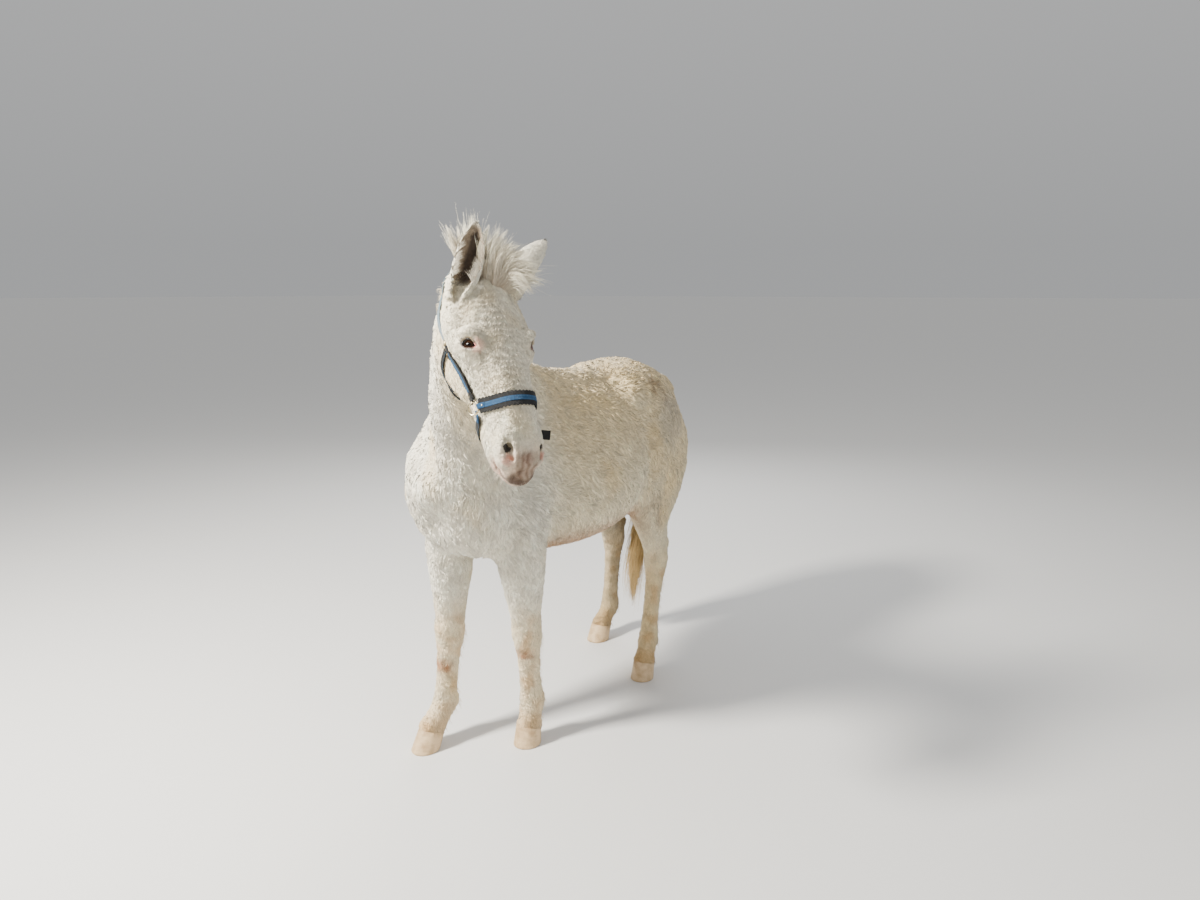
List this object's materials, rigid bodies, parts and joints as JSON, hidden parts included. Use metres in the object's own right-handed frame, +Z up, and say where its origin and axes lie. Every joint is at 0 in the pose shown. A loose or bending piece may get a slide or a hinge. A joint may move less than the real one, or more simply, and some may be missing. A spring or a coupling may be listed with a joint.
{
  "type": "mule",
  "caption": "Life-size standing white mule in a shaggy winter coat, head turned to its left, long ears, forelock and tail, wearing a padded nylon halter.",
  "frame": {"origin": "on the floor, below the middle of the whole model's box", "axes": "+Z up, the mule faces -Y, its left side is towards +X"},
  "size_m": [0.8596, 1.7088, 1.8092],
  "materials": {
    "body_coat": "shaggy winter coat, cream white",
    "face_coat": "short wavy coat, cream white, pink skin at the muzzle",
    "leg_coat": "dense coat, stained tan below the knees and hocks",
    "ear_coat": "pale fuzzy ear with a darker hollow",
    "long_hair": "coarse straw coloured hair",
    "eye_surface": "wet, very dark brown",
    "hoof_horn": "light tan horn, dull",
    "halter_webbing": "black and blue woven webbing with black padding",
    "halter_metal": "plated metal, a little worn"
  },
  "bodies": {
    "root": {"head": "face_coat", "neck": "body_coat", "torso": "body_coat", "tail": "long_hair", "leg_front_left": "leg_coat", "hoof_front_left": "hoof_horn", "leg_front_right": "leg_coat", "hoof_front_right": "hoof_horn", "leg_hind_left": "leg_coat", "hoof_hind_left": "hoof_horn", "leg_hind_right": "leg_coat", "hoof_hind_right": "hoof_horn", "ear_left": "ear_coat", "eye_left": "eye_surface", "halter_ring_left": "halter_metal", "halter_cheek_ring_left": "halter_metal", "halter_cheek_strap_left": "halter_webbing", "ear_right": "ear_coat", "eye_right": "eye_surface", "halter_ring_right": "halter_metal", "halter_cheek_ring_right": "halter_metal", "halter_cheek_strap_right": "halter_webbing", "halter_noseband": "halter_webbing", "halter_chin_strap": "halter_webbing", "halter_crown_strap": "halter_webbing", "halter_throat_strap": "halter_webbing"}
  },
  "joints": []
}
